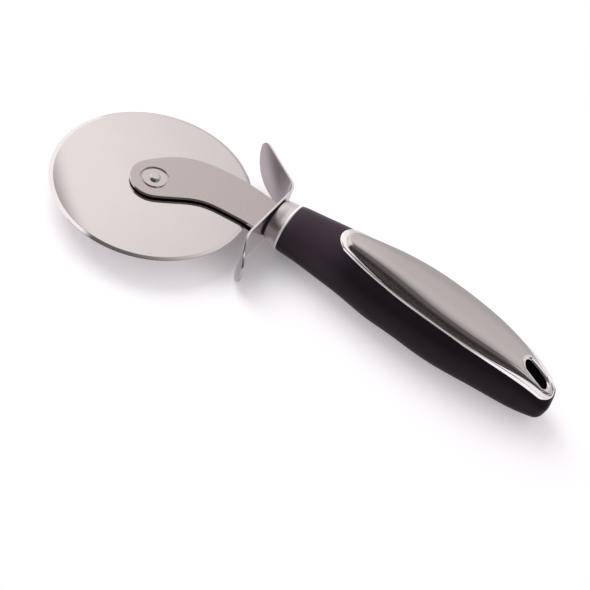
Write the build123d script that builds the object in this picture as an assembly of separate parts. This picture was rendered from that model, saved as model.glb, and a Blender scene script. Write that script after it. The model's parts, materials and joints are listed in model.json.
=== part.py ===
from build123d import *
from math import atan2, copysign, cos, pi, radians, sin
import os

# A pizza cutter: a free-running wheel in a two-armed fork, a finger guard, a ferrule and a moulded grip
# that is closed on top by a pressed steel plate. Millimetres throughout. It is built about the wheel's
# centre: +X runs along the grip to its tail, +Z is the wheel's axle, and the grip's axis lies at +Y.

# Wheel and axle
wheel_d = 80.0
wheel_t = 0.8
edge_bevel = 1.5        # width of the bevel ground on each side of the rim
edge_t = 0.15           # thickness left at the cutting edge
sleeve_d = 7.0          # the wheel turns on this sleeve
running_gap = 0.05      # radial clearance of the wheel on its sleeve
side_gap = 0.15         # clearance of the wheel between the pressed bosses of the arms
fit_gap = 0.03          # clearance of the parts that are riveted or pressed together
rivet_d = 3.2
rivet_overhang = 0.6    # of the rivet's heads over its shank
rivet_head_h = 1.0
rivet_round = 0.7
washer_margin = 0.9     # from the washer to the wall of its recess
washer_t = 0.5

# Fork
arm_t = 1.2
arm_gap = 0.75          # from each arm to the wheel's face, away from the boss
arm_end_r = 9.8         # round end of the arms about the axle
boss_d = 12.0           # pressed boss under the rivet, a recess on its outer side
boss_wall = 0.3
axis_offset = 20.3      # from the wheel's centre to the grip's axis
arm_back = 5.7          # from the grip's axis to the arm's back edge, at the guard
arm_front = 12.6        # from the grip's axis to the arm's front edge, at the guard
# Where the arm's edges leave its round end, in degrees about the axle, and the points that they pass on
# the way to the guard: share of the guard's distance from the axle, share of that edge's offset there
arm_back_turn = 152
arm_back_line = ((-0.03, 0.59), (0.17, 0.83), (0.56, 0.99))
arm_front_turn = -52
arm_front_line = ((0.28, -0.27), (0.46, 0.50), (0.70, 0.84))
tang_w = 10.6
tang_l = 36.0           # behind the guard
tang_rivet_d = 3.4
tang_rivet_inset = 5.0  # from the end of the tang
tang_rivet_pitch = 11.0
tang_rivet_count = 2
tang_pin_d = 3.0

# Finger guard, a bent strip on edge
guard_reach = 4.85      # from the wheel's rim to the front of the guard
guard_t = 0.9
guard_half = 9.2        # half the width of the strip
front_wing_bend_r = 7.0
front_wing_angle = 59.0
front_wing_start = 8.1  # from the grip's axis to the bend
front_wing_l = 24.8
front_corners = (5.0, 13.0)     # radii of its upper and lower corner
back_wing_bend_r = 17.0
back_wing_angle = 42.3
back_wing_start = 19.6
back_wing_l = 3.1
back_corners = (12.6, 5.4)

# Ferrule and neck
neck_show = 1.2         # bare neck between the guard and the ferrule
ferrule_l = 6.05
ferrule_front_r = 9.1
ferrule_back_r = 10.2
ferrule_wall = 0.7
bead_r = 0.45           # rolled edge at the back of the ferrule

# Grip
grip_l = 121.7
grip_half = 15.2        # half width where it is fullest
grip_top = 15.0
grip_drop = 10.2
grip_mid = 3.0          # height of the widest line where the grip is fullest
grip_square = 0.4       # squareness added to the round section where the grip is fullest
waist = 1.2             # hollow of the belly behind the ferrule
grip_wall = 2.8
tail_round = 4.0
cavity_start = 40.0     # behind the ferrule
cavity_end = 23.7       # before the end of the grip
section_points = 24
# Shape of the grip from the ferrule to its fullest place: share of the length, then shares of the way from
# the ferrule's radius to the fullest width and top, of the widest line's rise, and of the waist
front_form = (
    (0.0, 0.0, 0.0, 0.0, 0.0),
    (0.061, 0.10, 0.42, 0.03, 0.5),
    (0.102, 0.20, 0.58, 0.13, 0.85),
    (0.167, 0.36, 0.79, 0.37, 1.0),
    (0.233, 0.48, 0.875, 0.6, 0.9),
    (0.315, 0.74, 0.90, 0.8, 0.6),
    (0.397, 0.92, 0.94, 0.93, 0.3),
    (0.553, 1.0, 1.0, 1.0, 0.0),
)
# and on to the tail: share of the length, then shares of the fullest width, top, widest line, drop and
# squareness
rear_form = (
    (0.725, 0.882, 0.95, 0.8, 0.98, 1.0),
    (0.815, 0.763, 0.86, 0.53, 0.94, 1.2),
    (0.897, 0.64, 0.65, 0.2, 0.88, 1.8),
    (0.95, 0.55, 0.46, -0.07, 0.77, 2.0),
    (1.0, 0.44, 0.27, -0.3, 0.61, 2.0),
)

# Top plate
plate_t = 0.5
plate_nose = 20.3       # behind the ferrule
plate_tail = 1.0        # before the end of the grip
plate_wide = 68.9       # behind the ferrule, where the plate is widest
plate_margin = 3.65     # from the plate's edge to the grip's side where it is fullest
nose_r = 6.5
tail_r = 7.0
side_flange = 0.55
nose_flange = 2.3
tail_flange = 0.9
lid_nose_r = 4.8
lid_tail_r = 4.6
plate_lean = 1.0        # lean of the plate's wall over its height
plate_rise = 3.5        # of the plate's top over the grip's
crown_rise = 0.6        # crown across the plate
# Line of the plate's top along the grip: share of the grip's length, share of the crown's height
crown_line = (
    (0.09, 0.75),
    (0.231, 0.905),
    (0.394, 1.0),
    (0.549, 0.965),
    (0.72, 0.865),
    (0.809, 0.775),
    (0.891, 0.59),
    (0.976, 0.30),
    (1.03, 0.10),
)
shoulder_r = 1.8
seat_gap = 0.03
opening_inset = 2.2     # from the foot of the plate's wall to the opening beneath

# Studs that hold the plate
stud_d = 3.0
stud_count = 3
stud_depth = 8.0
post_wall = 2.0
post_top = 6.0          # above the grip's axis

# Hanging hole
hole_l = 12.4
hole_w = 6.3
hole_at = 11.1          # before the end of the grip
lip_l = 3.2

far = 400.0             # larger than the whole cutter

wheel_r = wheel_d / 2
arm_low = wheel_t / 2 + arm_gap
arm_high = arm_low + arm_t
boss_low = wheel_t / 2 + side_gap
boss_h = arm_low - boss_low
guard_x = wheel_r + guard_reach
neck_x = guard_x + guard_t
ferrule_x = neck_x + neck_show
grip_x = ferrule_x + ferrule_l
tail_x = grip_x + grip_l
pin_x = ferrule_x + ferrule_l / 2
pin_half = ferrule_front_r - ferrule_wall - tang_pin_d / 4
tang_end = guard_x + tang_l
tang_rivet_xs = [tang_end - tang_rivet_inset - tang_rivet_pitch * step for step in range(tang_rivet_count)]
cavity_x = (grip_x + cavity_start, tail_x - cavity_end)
stud_pitch = (cavity_x[1] - cavity_x[0]) / stud_count
stud_xs = [cavity_x[0] + stud_pitch * (step + 0.5) for step in range(stud_count)]
hole_x = tail_x - hole_at
plate_half = grip_half - plate_margin
crown_top = grip_top + plate_rise
recess_r = boss_d / 2 - boss_wall
axis = Pos(0, axis_offset, 0)


def bar(start, end, half_y, low, high):
    """A box along the grip's axis."""
    return axis * Pos((start + end) / 2, 0, (low + high) / 2) * Box(end - start, 2 * half_y, high - low)


def post(x, y, diameter, low, high):
    """An upright round post."""
    return Pos(x, y, (low + high) / 2) * Cylinder(diameter / 2, high - low)


def turned(points):
    """A part turned about the wheel's axle from (radius, height) points."""
    return revolve(make_face(Polyline(*[(r, 0, z) for r, z in points], close=True)), Axis.Z)


def turned_along(points):
    """A part turned about the grip's axis from (distance along X, radius) points."""
    return axis * revolve(make_face(Polyline(*[(x, r, 0) for x, r in points], close=True)), Axis.X)


def make_wheel():
    bore = sleeve_d / 2 + running_gap
    flat = wheel_r - edge_bevel
    side, tip = wheel_t / 2, edge_t / 2
    return turned([(bore, -side), (flat, -side), (wheel_r, -tip), (wheel_r, tip), (flat, side), (bore, side)])


def make_sleeve():
    hole = rivet_d / 2 + fit_gap
    outer = sleeve_d / 2
    return turned([(hole, -boss_low), (outer, -boss_low), (outer, boss_low), (hole, boss_low)])


def make_washer():
    hole = rivet_d / 2 + fit_gap
    low = arm_high - boss_h
    high = low + washer_t
    outer = recess_r - washer_margin
    return turned([(hole, low), (outer, low), (outer, high), (hole, high)])


def make_rivet():
    head_d = rivet_d + 2 * rivet_overhang
    seat = arm_high - boss_h + washer_t
    top = seat + rivet_head_h
    rivet = post(0, 0, rivet_d, -top, top)
    rivet += post(0, 0, head_d, seat, top)
    rivet += post(0, 0, head_d, -top, -seat)
    ends = rivet.faces().sort_by(Axis.Z)
    return fillet(ends[0].edges() + ends[-1].edges(), rivet_round)


def arm_edge(turn, offset, line, way):
    """One edge of the arm, from its round end about the axle to the guard."""
    start = (arm_end_r * cos(radians(turn)), arm_end_r * sin(radians(turn)))
    points = [(guard_x * along, offset * out) for along, out in line]
    leave = (-way * sin(radians(turn)), way * cos(radians(turn)))
    return Spline(start, *points, (guard_x, offset), tangents=[leave, (1, 0)])


def arm_outline():
    """A round end about the axle, then a swan neck to the guard."""
    back = arm_edge(arm_back_turn, axis_offset + arm_back, arm_back_line, -1)
    front = arm_edge(arm_front_turn, axis_offset - arm_front, arm_front_line, 1)
    end = ThreePointArc(back @ 0, (-arm_end_r, 0), front @ 0)
    return make_face(Curve() + [back, front, end, Line(back @ 1, front @ 1)])


def tang_holes(low, high):
    """What passes through the tang: its rivets and the cross pin."""
    holes = [post(x, axis_offset, tang_rivet_d + 2 * fit_gap, low, high) for x in tang_rivet_xs]
    return holes + [post(pin_x, axis_offset, tang_pin_d + 2 * fit_gap, low, high)]


def make_arm():
    """The upper arm. The lower one is its mirror image."""
    arm = Pos(0, 0, arm_low) * extrude(arm_outline(), arm_t)
    arm += bar(guard_x - arm_t, tang_end, tang_w / 2, arm_low, arm_high)
    arm += post(0, 0, boss_d, boss_low, arm_low)
    arm -= post(0, 0, 2 * recess_r, arm_high - boss_h, arm_high)
    arm -= post(0, 0, rivet_d + 2 * fit_gap, -far, far)
    for hole in tang_holes(-far, far):
        arm -= hole
    return arm


def make_spacer():
    spacer = bar(guard_x - guard_t, tang_end, tang_w / 2, -arm_low, arm_low)
    for hole in tang_holes(-far, far):
        spacer -= hole
    return spacer


def tang_way(start, end):
    """The way through the guard and the grip that the tang fills."""
    return bar(start, end, tang_w / 2 + fit_gap, -arm_high - fit_gap, arm_high + fit_gap)


def make_tang_rivets():
    return Compound([post(x, axis_offset, tang_rivet_d, -arm_high, arm_high) for x in tang_rivet_xs])


def neck_radius(x):
    """Radius of the neck, which fills the ferrule."""
    slope = (ferrule_back_r - ferrule_front_r) / ferrule_l
    return ferrule_front_r - ferrule_wall - seat_gap + slope * max(x - ferrule_x, 0)


def make_tang_pin():
    return post(pin_x, axis_offset, tang_pin_d, -pin_half, pin_half)


def wing_corner(wing, side, radius):
    """What comes off the upper (1) or lower (-1) corner of a wing's end, seen square to the wing."""
    end = wing @ 1
    way = wing % 1
    face = Plane(origin=(end.X, end.Y, side * guard_half), x_dir=(way.X, way.Y, 0), z_dir=(way.Y, -way.X, 0))
    middle = (guard_t - radius) / 2
    waste = Pos(middle, side * middle) * Rectangle(radius + guard_t, radius + guard_t)
    kept = Pos(-radius, -side * radius) * Circle(radius)
    return extrude(face * (waste - kept), guard_half, both=True)


def make_guard():
    """A strip on edge, one wing bent forwards past the wheel and the other swept back."""
    middle = guard_x + guard_t / 2
    top = axis_offset + front_wing_start
    low = axis_offset - back_wing_start
    straight = Line((middle, low), (middle, top))
    front_bend = JernArc(straight @ 1, (0, 1), front_wing_bend_r, front_wing_angle)
    front_wing = PolarLine(front_bend @ 1, front_wing_l, direction=front_bend % 1)
    back_bend = JernArc(straight @ 0, (0, -1), back_wing_bend_r, back_wing_angle)
    back_wing = PolarLine(back_bend @ 1, back_wing_l, direction=back_bend % 1)
    path = Curve() + [back_wing, back_bend, straight, front_bend, front_wing]
    strip = extrude(trace(path, guard_t), guard_half, both=True)
    for wing, corners in ((front_wing, front_corners), (back_wing, back_corners)):
        strip -= wing_corner(wing, 1, corners[0])
        strip -= wing_corner(wing, -1, corners[1])
    return strip - tang_way(guard_x - guard_t, neck_x + guard_t)


def make_ferrule():
    end = ferrule_x + ferrule_l
    shell = turned_along([(ferrule_x, ferrule_front_r - ferrule_wall), (ferrule_x, ferrule_front_r),
                          (end, ferrule_back_r), (end, ferrule_back_r - ferrule_wall)])
    bead = axis * Pos(end - bead_r, 0, 0) * Rot(0, 90, 0) * Torus(ferrule_back_r - bead_r / 2, bead_r)
    inside = turned_along([(ferrule_x, 0), (ferrule_x, ferrule_front_r - ferrule_wall),
                           (end, ferrule_back_r - ferrule_wall), (end, 0)])
    return shell + (bead - inside)


def oval(x, half, middle, top, drop, square, grow):
    """A section square to the grip: a superellipse with its own height above and below its widest line."""
    points = []
    for step in range(section_points):
        turn = 2 * pi * step / section_points
        c, s = cos(turn), sin(turn)
        y = (half + grow) * copysign(abs(c) ** (2 / square), c)
        height = top - middle + grow if s > 0 else drop + middle + grow
        points.append((x, axis_offset + y, middle + height * copysign(abs(s) ** (2 / square), s)))
    return make_face(Spline(*points, periodic=True))


def grip_sections(grow):
    """Sections from the ferrule to the tail, as shares of the grip's length and of its fullest sizes."""
    first = ferrule_back_r
    rows = []
    for along, wide, high, fill, hollow in front_form:
        half = first + (grip_half - first) * wide
        top = first + (grip_top - first) * high
        drop = first + (grip_drop - first) * fill - waist * hollow
        rows.append((along, half, grip_mid * fill, top, drop, 2 + grip_square * fill))
    for along, wide, high, fill, low, square in rear_form:
        rows.append((along, grip_half * wide, grip_mid * fill, grip_top * high, grip_drop * low,
                     2 + grip_square * square))
    return [oval(grip_x + grip_l * along, *sizes, grow) for along, *sizes in rows]


def grip_form(grow=0.0):
    """The grip's outer form, or a form that stands off from it by the same amount all round."""
    form = loft(grip_sections(grow))
    if grow < 0:
        return form
    return fillet(form.faces().sort_by(Axis.X)[-1].edges(), tail_round)


def arc_about(centre, start, end):
    """The short arc from start to end round a centre."""
    a, b, c = Vector(*start), Vector(*end), Vector(*centre)
    mean = (a - c) + (b - c)
    return ThreePointArc(a, c + mean.normalized() * (a - c).length, b)


def leaf(nose_x, nose, half, tail_end, tail):
    """The plate's outline in plan: a round nose and tail joined by two long bowed sides."""
    wide_x = grip_x + plate_wide
    edges = []
    for tip_x, tip_r, way in ((nose_x, nose, 1), (tail_end, tail, -1)):
        centre_x = tip_x + way * tip_r
        run = wide_x - centre_x
        side_r = (run ** 2 + half ** 2 - tip_r ** 2) / (2 * (half - tip_r))
        lean = atan2(run, side_r - half)
        touch = (centre_x - tip_r * sin(lean), tip_r * cos(lean))
        for side in (1, -1):
            meet = (touch[0], side * touch[1])
            edges.append(arc_about((centre_x, 0), (tip_x, 0), meet))
            edges.append(arc_about((wide_x, side * (half - side_r)), meet, (wide_x, side * half)))
    return axis * make_face(Curve() + edges)


def plate_leaf():
    return leaf(grip_x + plate_nose, nose_r, plate_half, tail_x - plate_tail, tail_r)


def lid_leaf(inset):
    """The foot of the plate's wall, drawn in by an inset."""
    nose_x = grip_x + plate_nose + nose_flange + inset
    tail_end = tail_x - plate_tail - tail_flange - inset
    return leaf(nose_x, lid_nose_r - inset, plate_half - side_flange - inset, tail_end, lid_tail_r - inset)


def crown_form(lower):
    """Everything beneath the plate's top surface, lowered by an amount."""
    faces = []
    half = 2 * plate_half
    for along, high in crown_line:
        x = grip_x + grip_l * along
        z = crown_top * high - lower
        edge = z - crown_rise * (half / plate_half) ** 2
        left, right = Vector(x, axis_offset - half, edge), Vector(x, axis_offset + half, edge)
        left_foot, right_foot = Vector(x, axis_offset - half, -far), Vector(x, axis_offset + half, -far)
        top = ThreePointArc(left, (x, axis_offset, z), right)
        sides = [Line(left, left_foot), Line(left_foot, right_foot), Line(right_foot, right)]
        faces.append(make_face(Curve() + [*sides, top]))
    return loft(faces)


def lid_form(inset, lower, round_r):
    """The pressed lid as a block: leaning walls under the crown, with a round shoulder."""
    foot = lid_leaf(inset - plate_lean)
    head = Pos(0, 0, crown_top + plate_half) * lid_leaf(inset + plate_lean)
    lid = loft([foot, head], ruled=True) & crown_form(lower)
    return fillet(lid.faces().sort_by(Axis.Z)[-1].edges(), round_r)


def slot(grow, low, high):
    """An upright slot at the hanging hole."""
    plan = SlotOverall(hole_l + 2 * grow, hole_w + 2 * grow)
    return axis * Pos(hole_x, 0, low) * extrude(plan, high - low)


def make_plate():
    """A pressed lid with a narrow flange that lies on the grip, and a lip turned down into the hole."""
    flange = extrude(plate_leaf(), far) & grip_form(seat_gap + plate_t)
    plate = flange + lid_form(0, 0, shoulder_r)
    plate -= lid_form(plate_t, plate_t, shoulder_r - plate_t)
    plate -= grip_form(seat_gap)
    lip = slot(plate_t, -far, far) & (crown_form(plate_t / 2) - crown_form(lip_l))
    return plate + lip - slot(0, -far, far)


def make_body():
    """The moulded grip: a neck and socket for the tang, a hollow under the plate and posts for its studs."""
    form = grip_form()
    reach = bar(*cavity_x, far, -far, far)
    hollow = grip_form(-grip_wall) & reach
    opening = extrude(lid_leaf(opening_inset), far) & reach
    neck_front, neck_back = neck_radius(ferrule_x), neck_radius(grip_x)
    neck = turned_along([(neck_x, 0), (neck_x, neck_front), (ferrule_x, neck_front), (grip_x, neck_back),
                         (grip_x, 0)])
    body = form - hollow - opening + neck
    for x in stud_xs:
        body += post(x, axis_offset, stud_d + 2 * post_wall, -far, post_top) & form
        body -= post(x, axis_offset, stud_d + 2 * fit_gap, post_top - stud_depth, far)
    body -= tang_way(neck_x - guard_t, tang_end + fit_gap)
    body -= tang_holes(-pin_half - fit_gap, pin_half + fit_gap)[-1]
    return body - slot(plate_t + seat_gap, -far, far)


def make_studs():
    """Studs welded under the plate, pressed into the posts of the grip."""
    ceiling = crown_form(plate_t)
    studs = [post(x, axis_offset, stud_d, post_top - stud_depth, far) & ceiling for x in stud_xs]
    return Compound([stud.solid() for stud in studs])


parts = {
    "cutting_wheel": make_wheel(),
    "axle_sleeve": make_sleeve(),
    "axle_rivet": make_rivet(),
    "rivet_washer_upper": make_washer(),
    "rivet_washer_lower": mirror(make_washer(), Plane.XY),
    "fork_arm_upper": make_arm(),
    "fork_arm_lower": mirror(make_arm(), Plane.XY),
    "tang_spacer": make_spacer(),
    "tang_rivets": make_tang_rivets(),
    "tang_pin": make_tang_pin(),
    "finger_guard": make_guard(),
    "ferrule": make_ferrule(),
    "handle_body": make_body(),
    "top_plate": make_plate(),
    "plate_studs": make_studs(),
}

# The origin of the finished cutter is the middle of its box, at the bottom, as it lies on a table.
box = Compound(list(parts.values())).bounding_box()
rest = Pos(-box.center().X, -box.center().Y, -box.min.Z)
os.makedirs("parts", exist_ok=True)
for name, shape in parts.items():
    export_step(rest * shape, f"parts/{name}.step")
print("size", [round(v, 3) for v in box.size])
print("wheel centre", [round(v, 4) for v in rest.position])
print("hanging hole", [round(v, 4) for v in (rest * axis * Pos(hole_x, 0, 0)).position])
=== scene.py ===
import bmesh
import bpy
import json
from math import atan2, cos, hypot, pi, radians, sin, sqrt
from mathutils import Matrix, Vector
from mathutils.bvhtree import BVHTree
from numpy.polynomial import Polynomial


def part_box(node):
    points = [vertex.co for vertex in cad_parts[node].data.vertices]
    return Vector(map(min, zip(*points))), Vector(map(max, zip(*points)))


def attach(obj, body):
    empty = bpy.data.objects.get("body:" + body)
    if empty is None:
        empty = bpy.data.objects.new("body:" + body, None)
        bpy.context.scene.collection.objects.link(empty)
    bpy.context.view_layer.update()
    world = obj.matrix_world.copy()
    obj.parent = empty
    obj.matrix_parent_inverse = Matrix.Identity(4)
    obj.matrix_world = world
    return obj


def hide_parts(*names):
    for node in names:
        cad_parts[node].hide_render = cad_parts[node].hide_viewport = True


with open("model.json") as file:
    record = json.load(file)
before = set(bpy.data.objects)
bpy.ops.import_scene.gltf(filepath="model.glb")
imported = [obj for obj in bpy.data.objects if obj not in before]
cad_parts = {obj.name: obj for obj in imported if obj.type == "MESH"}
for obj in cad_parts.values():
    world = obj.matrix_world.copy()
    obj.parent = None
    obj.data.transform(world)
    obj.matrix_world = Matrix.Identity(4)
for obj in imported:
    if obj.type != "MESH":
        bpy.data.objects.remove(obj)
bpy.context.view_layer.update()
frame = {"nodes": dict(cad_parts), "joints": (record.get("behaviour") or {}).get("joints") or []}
scene = bpy.context.scene
scene.view_settings.view_transform = "Standard"

MM = 0.001
UP = Vector((0, 0, 1))
ALONG = Vector((1, 0, 0))
axle = Vector(frame["joints"][0]["pos_m"])
ferrule_low, ferrule_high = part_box("ferrule")
grip_axis = Vector((0, (ferrule_low.y + ferrule_high.y) / 2, (ferrule_low.z + ferrule_high.z) / 2))


# Shader maths

class Signal:
    """A shader socket that takes part in Python sums."""

    def __init__(self, finish, socket):
        self.finish = finish
        self.socket = socket

    def out(self, name):
        """Another output of the same node."""
        return Signal(self.finish, self.socket.node.outputs[name])

    def __add__(self, other):
        return self.finish.math("ADD", self, other)

    def __radd__(self, other):
        return self.finish.math("ADD", other, self)

    def __sub__(self, other):
        return self.finish.math("SUBTRACT", self, other)

    def __rsub__(self, other):
        return self.finish.math("SUBTRACT", other, self)

    def __mul__(self, other):
        return self.finish.math("MULTIPLY", self, other)

    def __rmul__(self, other):
        return self.finish.math("MULTIPLY", other, self)

    def __pow__(self, other):
        return self.finish.math("POWER", self, other)


class Finish:
    """The nodes of one material, or of the world."""

    def __init__(self, owner):
        owner.use_nodes = True
        self.owner = owner
        self.tree = owner.node_tree
        self.tree.nodes.clear()

    def node(self, kind, settings={}, inputs={}, out=0):
        """Any node: its type, its settings, then values or links of its sockets."""
        made = self.tree.nodes.new(kind)
        for name, value in settings.items():
            setattr(made, name, value)
        for name, value in inputs.items():
            if isinstance(value, Signal):
                self.tree.links.new(value.socket, made.inputs[name])
            else:
                made.inputs[name].default_value = value
        return Signal(self, made.outputs[out]) if made.outputs else None

    def math(self, operation, first, second):
        return self.node("ShaderNodeMath", {"operation": operation}, {0: first, 1: second})

    def vector_math(self, operation, first, second=(0, 0, 0), out=0):
        return self.node("ShaderNodeVectorMath", {"operation": operation}, {0: first, 1: second}, out)

    def length(self, vector):
        return self.vector_math("LENGTH", vector, out="Value")

    def axes(self, vector):
        """The three parts of a vector."""
        x = self.node("ShaderNodeSeparateXYZ", {}, {"Vector": vector})
        return x, x.out("Y"), x.out("Z")

    def place(self, scale=(1, 1, 1), centre=(0, 0, 0), turn=(0, 0, 0)):
        """Object coordinates, stretched, turned and counted from a centre."""
        start = Vector([-part * size for part, size in zip(centre, scale)])
        place = self.node("ShaderNodeTexCoord", out="Object")
        inputs = {"Vector": place, "Location": start, "Rotation": turn, "Scale": scale}
        return self.node("ShaderNodeMapping", {"vector_type": "POINT"}, inputs)

    def along_grip(self):
        """Millimetres along the grip, across it, and up from its axis."""
        return self.axes(self.place(scale=(1 / MM, 1 / MM, 1 / MM), centre=grip_axis))

    def rays(self):
        """Whether the camera looks here, and whether metal or glass does."""
        camera = self.node("ShaderNodeLightPath", out="Is Camera Ray")
        return camera, self.math("MAXIMUM", camera.out("Is Glossy Ray"), camera.out("Is Transmission Ray"))

    def noise(self, vector, scale, detail=2.0, roughness=0.5):
        inputs = {"Vector": vector, "Scale": scale, "Detail": detail, "Roughness": roughness}
        return self.node("ShaderNodeTexNoise", {}, inputs)

    def step(self, value, low, high, start=0.0, end=1.0):
        """A smooth step from start at low to end at high."""
        inputs = {"Value": value, "From Min": low, "From Max": high, "To Min": start, "To Max": end}
        return self.node("ShaderNodeMapRange", {"interpolation_type": "SMOOTHSTEP"}, inputs)

    def fall(self, value, low, high, start=1.0):
        """A smooth step from start at low to nothing at high."""
        return self.step(value, low, high, start, 0.0)

    def mix(self, share, first, second):
        """A mix of two colours."""
        return self.node("ShaderNodeMix", {"data_type": "RGBA"}, {0: share, 6: first, 7: second}, out=2)

    def bump(self, height, distance):
        return self.node("ShaderNodeBump", {}, {"Height": height, "Distance": distance})

    def surface(self, **inputs):
        """The principled surface, with its sockets named as Base_Color for Base Color."""
        sockets = {name.replace("_", " "): value for name, value in inputs.items()}
        shader = self.node("ShaderNodeBsdfPrincipled", {}, sockets)
        self.node("ShaderNodeOutputMaterial", {}, {"Surface": shader})
        return self.owner


# Finishes

def rgb(red, green, blue):
    return (red, green, blue, 1.0)


def brushed_steel(name, light, dark, rough, grain, turn=0.0, winged=False):
    """Satin steel: fine lines along the grain, cloudy patches and a few scuffs."""
    line_depth = 2e-6
    f = Finish(bpy.data.materials.new(name))
    lines = f.noise(f.place(scale=grain, turn=(0, 0, turn)), scale=1.0, detail=3.0, roughness=0.6)
    clouds = f.noise(f.place(), scale=90.0, detail=3.0)
    marks = f.noise(f.place(scale=(1, 4, 4), turn=(0, 0, turn)), scale=420.0, detail=4.0, roughness=0.7)
    scuffs = f.step(marks, 0.62, 0.78)
    tone = f.mix(lines * 0.6 + clouds * 0.4, rgb(*dark), rgb(*light))
    worn = rough + 0.10 * (lines - 0.5) + 0.08 * (clouds - 0.5) + 0.05 * scuffs
    height = lines * line_depth
    # The guard's far wing gets painted shade on its upper corner.
    if winged:
        tone, height = hollow_wing(f, tone, height)
    return f.surface(Base_Color=tone, Metallic=1.0, Roughness=worn, Normal=f.bump(height, 1.0))


def hollow_wing(f, tone, height):
    """The guard's far wing, hollowed towards its top, with painted shade darkening its upper corner. In metres."""
    hollow, foot = 4.0, -0.009
    wing_start, wing_full = 0.010, 0.018
    corner_slant, corner_start, corner_full = 1.5, -0.0346, -0.0226
    _, y, z = f.axes(f.place(centre=grip_axis))
    wing = f.step(y, wing_start, wing_full)
    top = f.math("MAXIMUM", z - foot, 0.0)
    # Painted shade: the upper corner of the wing is mixed towards a dark tone.
    corner = f.step(z - corner_slant * y, corner_start, corner_full)
    return f.mix(wing * corner, tone, rgb(0.24, 0.213, 0.22)), height - hollow * top ** 2.0 * wing


def polished_wheel():
    """Mirror steel with the faint rings of its polishing, and hairline scratches."""
    ring_depth = 2e-7
    f = Finish(bpy.data.materials.new("polished_wheel"))
    radius = f.length(f.vector_math("MULTIPLY", f.place(centre=axle), (1, 1, 0)))
    rings = f.node("ShaderNodeTexNoise", {"noise_dimensions": "1D"}, {"W": radius, "Scale": 2200.0, "Detail": 3.0})
    clouds = f.noise(f.place(), scale=60.0, detail=2.0)
    scratches = f.noise(f.place(scale=(40, 900, 1), turn=(0, 0, 0.5)), scale=3.0, detail=3.0, roughness=0.7)
    hairs = f.step(scratches, 0.64, 0.72)
    tone = f.mix(clouds, rgb(0.63, 0.575, 0.56), rgb(0.67, 0.615, 0.60))
    worn = 0.06 + 0.03 * (rings - 0.5) + 0.03 * (clouds - 0.5) + 0.03 * hairs
    return f.surface(Base_Color=tone, Metallic=1.0, Roughness=worn, Normal=f.bump(rings, ring_depth))


def polished_steel(name, dark, light, rough, painted_dim_tone=None, metallic=1.0):
    """Buffed steel, a little cloudy. Given a dim tone, the grip's middle is painted in it while the nose and tail
    stay bright: a painted reflection.
    """
    f = Finish(bpy.data.materials.new(name))
    clouds = f.noise(f.place(), scale=160.0, detail=3.0)
    tone = f.mix(clouds, rgb(*dark), rgb(*light))
    if painted_dim_tone:
        x, _, _ = f.along_grip()
        # Painted reflection: brighter at the nose and tail, dimmer along the middle.
        painted_bright_ends = f.fall(x, 12.0, 18.0) + f.step(x, 68.0, 80.0)
        tone = f.mix(painted_bright_ends, rgb(*painted_dim_tone), tone)
    return f.surface(Base_Color=tone, Metallic=metallic, Roughness=rough + 0.05 * (clouds - 0.5))


def moulded_grip():
    """Dark plastic with a fine moulded grain and random tone, with painted light making its upper front paler
    behind the guard.
    """
    grain_depth = 6e-6
    f = Finish(bpy.data.materials.new("moulded_grip"))
    grain = f.noise(f.place(), scale=3200.0, detail=2.0)
    handled = f.noise(f.place(scale=(1, 2, 2)), scale=45.0, detail=3.0)
    x, _, z = f.along_grip()
    # Painted light: the top of the grip's front is paler, as if lit from above.
    painted_top_light = f.fall(x, 4.0, 20.0) * f.step(z, -3.0, 4.0)
    tone = f.mix(handled, rgb(0.0115, 0.0062, 0.0105), rgb(0.015, 0.0085, 0.0138))
    tone = f.mix(painted_top_light, tone, rgb(0.040, 0.026, 0.037))
    worn = 0.46 + 0.10 * (handled - 0.5) + 0.06 * (grain - 0.5)
    return f.surface(Base_Color=tone, Roughness=worn, Specular_IOR_Level=0.1, Normal=f.bump(grain, grain_depth))


wheel_steel = polished_wheel()
arm_steel = brushed_steel("brushed_arm", light=(0.54, 0.475, 0.46), dark=(0.48, 0.42, 0.405), rough=0.28,
                          grain=(120, 5200, 5200), turn=0.35)
arm_edge_steel = polished_steel("sheared_edge", dark=(0.46, 0.42, 0.41), light=(0.56, 0.52, 0.51), rough=0.13)
guard_steel = brushed_steel("brushed_guard", light=(0.43, 0.39, 0.405), dark=(0.37, 0.335, 0.35), rough=0.17,
                            grain=(5200, 5200, 160), winged=True)
ferrule_steel = brushed_steel("brushed_ferrule", light=(0.70, 0.64, 0.63), dark=(0.62, 0.56, 0.55), rough=0.42,
                              grain=(140, 6000, 6000))
# Painted highlight: the bead is pale and only partly metal, so it shows as a bright line whatever it reflects.
bead_painted_highlight = polished_steel("frosted_bead_painted_highlight", dark=(0.86, 0.84, 0.835), light=(0.92, 0.90, 0.895), rough=0.35,
                            metallic=0.4)
plate_steel = brushed_steel("satin_plate", light=(0.555, 0.50, 0.485), dark=(0.505, 0.455, 0.44), rough=0.18,
                            grain=(110, 5600, 5600))
# The flange's middle is painted dim, a painted reflection that leaves its nose and tail bright.
flange_steel = polished_steel("polished_flange", dark=(0.90, 0.87, 0.865), light=(0.96, 0.93, 0.925), rough=0.09,
                              painted_dim_tone=(0.50, 0.47, 0.465))
edge_steel = polished_steel("polished_edge", dark=(0.68, 0.645, 0.635), light=(0.76, 0.72, 0.71), rough=0.09)
rivet_steel = polished_steel("polished_rivet", dark=(0.50, 0.455, 0.445), light=(0.58, 0.53, 0.52), rough=0.16)
grip_plastic = moulded_grip()


# Modelling

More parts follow.
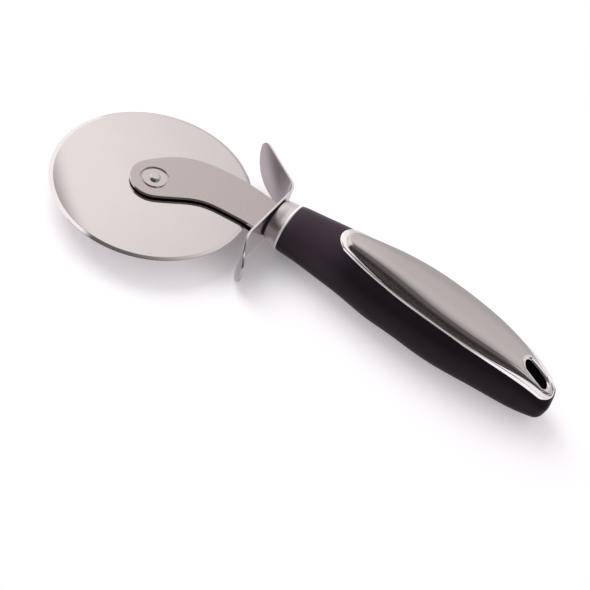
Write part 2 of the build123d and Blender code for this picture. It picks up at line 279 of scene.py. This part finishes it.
def finished(name, bm, body, slot, nodes, *materials):
    """An object at the origin from a bmesh. It rides on a body and stands for CAD nodes."""
    mesh = bpy.data.meshes.new(name)
    bm.to_mesh(mesh)
    bm.free()
    mesh.shade_smooth()
    for material in materials:
        mesh.materials.append(material)
    piece = bpy.data.objects.new(name, mesh)
    scene.collection.objects.link(piece)
    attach(piece, body)
    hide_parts(*nodes)
    return piece


def closed(bm):
    """Merges the doubles of a shape and turns its faces outwards."""
    bmesh.ops.remove_doubles(bm, verts=bm.verts, dist=0.0005 * MM)
    bmesh.ops.recalc_face_normals(bm, faces=bm.faces)
    return bm


def merged(node):
    """A copy of a CAD node's mesh with its doubles merged and its flat faces whole."""
    bm = bmesh.new()
    bm.from_mesh(frame["nodes"][node].data)
    bmesh.ops.remove_doubles(bm, verts=bm.verts, dist=0.001 * MM)
    bmesh.ops.dissolve_limit(bm, angle_limit=radians(0.2), verts=bm.verts, edges=bm.edges)
    return bm


def soften(piece, width):
    """Rounds the sharp edges of a piece."""
    bevel = piece.modifiers.new("soft_edges", "BEVEL")
    bevel.width = width
    bevel.segments = 3
    bevel.limit_method = "ANGLE"
    bevel.angle_limit = radians(35)
    bevel.harden_normals = True
    bevel.miter_outer = "MITER_ARC"
    flats = piece.modifiers.new("flat_faces", "WEIGHTED_NORMAL")
    flats.weight = 100
    flats.keep_sharp = True


def turned(outline, centre, axis, steps):
    """A closed outline of (radius, height) points, in millimetres, spun about an axis."""
    bm = bmesh.new()
    side = axis.orthogonal().normalized()
    rim = [bm.verts.new(centre + side * radius * MM + axis * height * MM) for radius, height in outline]
    edges = [bm.edges.new(pair) for pair in zip(rim, rim[1:] + rim[:1])]
    bmesh.ops.spin(bm, geom=rim + edges, cent=centre, axis=axis, angle=2 * pi, steps=steps, use_merge=True)
    return closed(bm)


# Wheel, its bore and flat and bevelled rim drawn above its middle plane and mirrored below

wheel_half = [
    (3.55, 0.36), (3.6, 0.4), (20.0, 0.4), (38.3, 0.4), (38.42, 0.395), (38.55, 0.375), (39.9, 0.10), (40.0, 0.05),
]
wheel_outline = wheel_half + [(radius, -height) for radius, height in reversed(wheel_half)]
wheel = finished("wheel_disc", turned(wheel_outline, axle, UP, steps=256), "wheel", "wheel_steel",
                 ["cutting_wheel"], wheel_steel)
wheel.data.set_sharp_from_angle(angle=radians(8))


# Fork and guard

def edged(name, node, slot, soft, flat, side, end=None):
    """A strip with softened edges: a finish for its flat faces, one for its sides, one for its front end. On the
    arms the front end takes a brighter steel than the sides, a painted highlight.
    """
    upright, facing_front = 0.5, -0.6
    bm = merged(node)
    for face in bm.faces:
        face.material_index = 1 if abs(face.normal.z) < upright else 0
        if end and face.material_index == 1 and face.normal.x < facing_front:
            face.material_index = 2
    finishes = [flat, side, end] if end else [flat, side]
    soften(finished(name, bm, "frame", slot, [node], *finishes), soft)


for node in ("fork_arm_upper", "fork_arm_lower"):
    # Painted highlight: the arms' front ends take the bright polished edge steel.
    edged(node + "_softened", node, "arm_steel", 0.3 * MM, arm_steel, arm_edge_steel, edge_steel)
edged("guard_strip", "finger_guard", "guard_steel", 0.15 * MM, edge_steel, guard_steel)


# Ferrule: a rolled lip in front, a flaring sleeve, and a bead against the grip

ferrule_lip = [
    (7.9, 0.2), (7.9, -0.35), (8.15, -0.55), (8.45, -0.6), (8.75, -0.5), (8.95, -0.25), (9.05, 0.1), (9.1, 0.3),
]
ferrule_flare = [(9.55, 2.8), (9.85, 5.0), (9.9, 5.08), (10.02, 5.14)]
ferrule_bead = [
    (10.16, 5.24), (10.28, 5.38), (10.36, 5.55), (10.4, 5.75), (10.38, 6.0), (10.3, 6.2), (10.15, 6.35),
    (9.6, 6.35), (9.3, 6.0),
]
bead_start = ferrule_low.x + 5.3 * MM
sleeve = turned(ferrule_lip + ferrule_flare + ferrule_bead, Vector((ferrule_low.x, grip_axis.y, grip_axis.z)),
                ALONG, steps=192)
for face in sleeve.faces:
    face.material_index = 1 if face.calc_center_median().x > bead_start else 0
finished("ferrule_sleeve", sleeve, "frame", "ferrule_steel", ["ferrule"], ferrule_steel, bead_painted_highlight)


# Top plate, in millimetres along the grip, across it, and up from its axis

plate_ends = (5.95, 106.0)
plate_tips = (6.5, 6.5)         # radii of its round nose and tail
plate_half = 11.45              # half its greatest width
plate_wide = 54.55              # where it is widest
plate_swell = 52                # half the length of its full middle

lid_ends = (8.0, 105.8)
lid_tips = (5.0, 5.5)           # how long its nose and tail take to round off
lid_tip_power = 2.3             # 2 would be an ellipse
lid_spread = 0.6                # added to its half width in the full middle
lid_sunk = 0.3                  # its foot, below the flange
lid_wall = 2.5                  # steepness of its wall
lid_roll = 1.7                  # how softly the wall rolls into the top
lid_crown = 0.25                # how far the top falls towards its sides, as a share of its height
lid_crown_power = 2.6

flange_widths = (0.4, 3.0)      # least and greatest
flange_proud = (0.45, 0.6)      # its top above the grip, and more in the full middle
flange_slope = (0.05, 0.13)     # its fall outwards, and more in the full middle
flange_round = 0.18             # how far its outer edge rounds down
flange_buried = 0.1             # its skirt, into the grip

hole_x, hole_straight, hole_r = 95.95, 3.15, 3.65

stations = [9.65, 17.65, 25.65, 33.65, 41.65, 49.65, 57.65, 65.65, 73.65, 81.65, 89.65, 97.65, 101.65, 105.45]
lid_half = Polynomial.fit(stations, [
    4.6, 6.3, 8.13, 9.5, 10.43, 10.92, 10.97, 10.65, 9.9, 8.7, 7.1, 5.2, 4.3, 3.4,
], 6)
lid_foot = Polynomial.fit(stations, [
    13.9, 13.36, 12.97, 12.72, 12.53, 12.37, 12.15, 11.82, 11.39, 10.83, 9.81, 7.7, 6.22, 4.7,
], 7)
lid_top = Polynomial.fit(stations, [
    16.13, 17.26, 18.09, 18.5, 18.44, 18.04, 17.46, 16.77, 15.96, 14.86, 12.69, 9.5, 7.6, 5.6,
], 7)

grip_mesh = frame["nodes"]["handle_body"].data
grip_skin = BVHTree.FromPolygons([vert.co for vert in grip_mesh.vertices],
                                 [polygon.vertices for polygon in grip_mesh.polygons])


def on_grip(x, y, z):
    """A place beside the grip's axis, in metres in the frame."""
    return grip_axis + Vector((x, y, z)) * MM


def on_frame(bm):
    """Brings a shape of the plate into the frame, with its seams closed and its top upwards."""
    bmesh.ops.transform(bm, matrix=Matrix.Translation(grip_axis) @ Matrix.Scale(MM, 4), verts=bm.verts)
    closed(bm)
    if max(bm.faces, key=lambda face: face.calc_center_median().z).normal.z < 0:
        bmesh.ops.reverse_faces(bm, faces=bm.faces)
    return bm


def ring_sheet(section, steps):
    """A sheet to bend round a ring. Each vertex comes with its turn and its point of the ring's section."""
    bm = bmesh.new()
    rows = len(section) - 1
    bmesh.ops.create_grid(bm, x_segments=steps, y_segments=rows, size=1.0)
    return bm, [(vert, (vert.co.x + 1) * pi, section[round((vert.co.y + 1) / 2 * rows)]) for vert in bm.verts]


def plate_outline(x):
    """Half width of the plate: round tips and bowed sides."""
    way = 0 if x < plate_wide else 1
    centre = plate_ends[way] + (plate_tips[way] if way == 0 else -plate_tips[way])
    run, tip = abs(plate_wide - centre), plate_tips[way]
    side = (run ** 2 + plate_half ** 2 - tip ** 2) / (2 * (plate_half - tip))
    if abs(x - plate_wide) > run + tip * sin(atan2(run, side - plate_half)):
        return sqrt(max(0.0, tip ** 2 - (x - centre) ** 2))
    return plate_half - side + sqrt(side ** 2 - (x - plate_wide) ** 2)


def swell(x):
    """How full the plate's middle is at a place, from 0 at the tips to 1."""
    return max(0.0, 1 - ((x - plate_swell) / plate_swell) ** 2)


def lid_outline(x):
    """Half width of the lid at its foot."""
    inner = max(0.0, min((x - lid_ends[0]) / lid_tips[0], (lid_ends[1] - x) / lid_tips[1], 1.0))
    tip = (1 - (1 - inner) ** lid_tip_power) ** (1 / lid_tip_power)
    return (lid_half(x) + lid_spread * swell(x)) * tip


def lid_height(x, y):
    """A crowned top that rolls into a leaning wall."""
    near = 0.02
    half, lean = lid_outline(x), (lid_outline(x + near) - lid_outline(x - near)) / (2 * near)
    inside = min((half - abs(y)) / hypot(1, lean), x - lid_ends[0], lid_ends[1] - x)
    rise = lid_top(x) - lid_foot(x) + lid_sunk
    wall, crown = inside * lid_wall, rise * (1 - lid_crown * abs(y / lid_half(x)) ** lid_crown_power)
    share = min(1.0, max(0.0, 0.5 + 0.5 * (crown - wall) / lid_roll))
    return lid_foot(x) - lid_sunk + crown + (wall - crown) * share - lid_roll * share * (1 - share)


def plate_lid():
    """The pressed lid, rolled over to its foot, open at the hanging hole."""
    bm = bmesh.new()
    bmesh.ops.create_grid(bm, x_segments=160, y_segments=96, size=1.0)
    for vert in bm.verts:
        x = lid_ends[0] + (lid_ends[1] - lid_ends[0]) * (1 - cos(pi * (vert.co.x + 1) / 2)) / 2
        y = lid_outline(x) * sin(vert.co.y * pi / 2)
        vert.co = (x, y, lid_height(x, y))
    opening = [v for v in bm.verts if hypot(max(abs(v.co.x - hole_x) - hole_straight, 0.0), v.co.y) < hole_r]
    bmesh.ops.delete(bm, geom=opening, context="VERTS")
    return on_frame(bm)


def hole_rim():
    """The polished lip of the hanging hole, turned down into the grip."""
    lip = ((0.75, -0.12), (0.72, 0.0), (0.5, 0.05), (0.2, 0.06), (0.0, 0.0), (-0.3, -0.2), (-0.6, -0.46),
           (-0.8, -0.75), (-0.85, -1.2), (-0.85, -3.0))
    straight_reach = 3
    bm, places = ring_sheet(lip, steps=120)
    for vert, turn, (out, up_by) in places:
        way = Vector((cos(turn), sin(turn)))
        middle = Vector((hole_x + hole_straight * max(-1.0, min(1.0, way.x * straight_reach)), 0))
        place = middle + way * (hole_r + out)
        edge = middle + way * (hole_r + max(out, 0.0))
        vert.co = (place.x, place.y, lid_height(edge.x, edge.y) + up_by)
    return on_frame(bm)


def plate_flange():
    """The polished flange round the lid's foot, its top flatter than the grip beneath."""
    # Shares of its width and of its height, from the skirt in the grip to under the lid
    section = ((0.0, -1.0), (0.0, 0.0), (0.05, 0.6), (0.15, 0.9), (0.4, 1.0), (0.7, 1.0), (1.0, 1.0), (1.3, 1.0))
    middle, reach = sum(plate_ends) / 2, (plate_ends[1] - plate_ends[0]) / 2
    near, pace, above_grip = 0.004, 0.02, 60

    def edge(turn):
        """The plate's edge, round from its nose."""
        x = middle - reach * cos(turn)
        return Vector((x, plate_outline(x) * (1 if sin(turn) > 0 else -1)))

    def skin(place):
        """Height of the grip's surface at a place in plan."""
        hit = grip_skin.ray_cast(on_grip(place.x, place.y, above_grip), -UP)[0]
        return (hit.z - grip_axis.z) / MM

    def width(place, inwards):
        """From the plate's edge to the lid's foot."""
        wide = flange_widths[0]
        while wide < flange_widths[1]:
            spot = place + inwards * wide
            if lid_ends[0] < spot.x < lid_ends[1] and abs(spot.y) < lid_outline(spot.x):
                break
            wide += pace
        return wide

    bm, places = ring_sheet(section, steps=288)
    for vert, turn, (share, up_share) in places:
        ahead = edge(turn + near) - edge(turn - near)
        outer, inwards = edge(turn), Vector((ahead.y, -ahead.x)).normalized()
        wide = width(outer, inwards)
        place = outer + inwards * wide * share
        full = swell(place.x)
        slope = flange_slope[0] + flange_slope[1] * full ** 2
        top = skin(outer + inwards * wide) + flange_proud[0] + flange_proud[1] * full
        top = top - slope * wide * max(0.0, 1 - share)
        z = skin(outer) - flange_buried if up_share < 0 else top - flange_round * (1 - up_share)
        vert.co = (place.x, place.y, z)
    return on_frame(bm)


finished("plate_lid", plate_lid(), "frame", "plate_steel", ["top_plate"], plate_steel)
finished("hole_rim", hole_rim(), "frame", "plate_steel", ["top_plate"], edge_steel)
finished("plate_flange", plate_flange(), "frame", "plate_steel", ["top_plate"], flange_steel)


# Solids that are kept as they are

for node in ("axle_rivet", "rivet_washer_upper", "rivet_washer_lower", "axle_sleeve", "tang_spacer", "tang_rivets",
             "tang_pin", "plate_studs"):
    frame["nodes"][node].data.materials[0] = rivet_steel
frame["nodes"]["handle_body"].data.materials[0] = grip_plastic


# Stage

def studio_world():
    """White to the camera, a soft studio to the metal, plain light to the rest."""
    scene.world = bpy.data.worlds.new("studio")
    f = Finish(scene.world)
    camera, metal = f.rays()
    way = f.node("ShaderNodeTexCoord", out="Generated")
    x, y, z = f.axes(way)

    # A bright wall behind, dimmer to the right, in two bands upwards, and in its far corner
    wall = f.step(y, 0.22, 0.52) * (1.04 - 0.26 * f.step(x, -0.5, -0.1))
    wall = wall * (1.0 - 0.22 * f.step(y, 0.76, 0.87))
    wall = wall * (1.0 - 0.11 * f.step(y, 0.58, 0.70))
    corner = f.fall(x + 1.863 * y, 0.488, 0.560) * f.fall(x, -0.40, -0.36)
    wall = wall * (1.0 - 0.66 * corner)

    # A brighter panel on the left, reaching round to the front
    left_edge = x - 0.11 * f.fall(y, 0.26, 0.36)
    left_foot = y + 0.75 * f.fall(x, -0.66, -0.54)
    left = f.fall(left_edge, -0.52, -0.45, 1.4) * f.step(left_foot, 0.05, 0.2) * f.fall(y, 0.66, 0.74)

    # A dark front with a gentle fill from above, and a small panel on the right
    front = 0.04 + 0.14 * f.step(y, -1.0, 0.25) + 0.13 * f.step(z, 0.05, 0.45) * f.fall(y, -0.5, -0.1)
    right_way = Vector((0.76, -0.15, 0.62)).normalized()
    from_right = f.math("ARCCOSINE", f.vector_math("DOT_PRODUCT", way, right_way, out="Value"), 0.0)
    right = f.fall(from_right, radians(8), radians(18), 1.2)

    studio = f.math("MAXIMUM", front + right + wall, left)
    plain = 0.19 + 0.65 * f.step(z, 0.0, 0.8)
    strength = camera + (1.0 - camera) * (metal * studio + (1.0 - metal) * plain)
    tint = f.mix(f.step(strength, 0.05, 0.14), rgb(1.0, 0.76, 0.82), rgb(1, 1, 1))
    light = f.node("ShaderNodeBackground", {}, {"Color": tint, "Strength": strength})
    f.node("ShaderNodeOutputWorld", {}, {"Surface": light})
    scene.world.cycles.sampling_method = "NONE"


def floor_paper():
    """Pale paper that keeps the shadow, with a painted shadow deepening it under the guard, and fades to white
    away from the cutter.
    """
    glow_level, shade_level = 0.36, 0.21
    under_guard, shade_full, shade_end = (-0.022, 0.005, 0), 0.006, 0.034
    fade_start, fade_end = 0.13, 0.28
    f = Finish(bpy.data.materials.new("floor_paper"))
    camera, metal = f.rays()
    # Painted shadow: the camera's glow is lowered round a spot under the guard.
    painted_shadow = camera * f.fall(f.length(f.place(centre=under_guard)), shade_full, shade_end, shade_level / glow_level)
    warm = f.mix(painted_shadow, rgb(1.0, 0.94, 0.985), rgb(0, 0, 0))
    glow = f.node("ShaderNodeEmission", {},
                  {"Color": warm, "Strength": f.math("MAXIMUM", camera, metal) * glow_level})
    paper = f.node("ShaderNodeBsdfDiffuse", {}, {"Color": rgb(0.64, 0.622, 0.64)})
    near = f.node("ShaderNodeAddShader", {}, {0: paper, 1: glow})
    white = f.node("ShaderNodeEmission", {}, {"Color": rgb(1, 1, 1), "Strength": 1.0})
    far = camera * f.step(f.length(f.place()), fade_start, fade_end)
    sheet = f.node("ShaderNodeMixShader", {}, {0: far, 1: near, 2: white})
    f.node("ShaderNodeOutputMaterial", {}, {"Surface": sheet})
    return f.owner


def floor():
    """A sheet under the cutter that runs far back from a little in front of it."""
    half, front = 3.0, -0.125
    bm = bmesh.new()
    bmesh.ops.create_grid(bm, x_segments=1, y_segments=1, size=half)
    bmesh.ops.translate(bm, vec=(0, half + front, 0), verts=bm.verts)
    mesh = bpy.data.meshes.new("floor")
    bm.to_mesh(mesh)
    bm.free()
    mesh.materials.append(floor_paper())
    paper_sheet = bpy.data.objects.new("floor", mesh)
    scene.collection.objects.link(paper_sheet)


def soft_lamp(name, place, aim, size, power):
    """A square area lamp that lights without showing in the metal."""
    data = bpy.data.lights.new(name, "AREA")
    data.shape = "SQUARE"
    data.size = size
    data.energy = power
    lamp = bpy.data.objects.new(name, data)
    scene.collection.objects.link(lamp)
    lamp.location = place
    lamp.rotation_euler = (Vector(aim) - Vector(place)).to_track_quat("-Z", "Y").to_euler()
    lamp.visible_glossy = False


def photo_camera():
    """The photograph's view: a turn about the vertical, a tilt down, and a roll."""
    turn, tilt, roll = radians(12.154), radians(49.588), radians(25.239)
    place = (0.0470, -0.20449, 0.24315)
    data = bpy.data.cameras.new("camera")
    data.sensor_width = 36.0
    data.lens = 49.4
    data.clip_start = 0.01
    camera = bpy.data.objects.new("camera", data)
    scene.collection.objects.link(camera)
    aim = Matrix.Rotation(turn, 4, "Z") @ Matrix.Rotation(pi / 2 - tilt, 4, "X") @ Matrix.Rotation(roll, 4, "Z")
    camera.matrix_world = Matrix.Translation(place) @ aim
    scene.camera = camera


studio_world()
floor()
soft_lamp("top_lamp", place=(-0.85, 0.35, 0.85), aim=(0, 0, 0), size=0.9, power=12.3)
photo_camera()
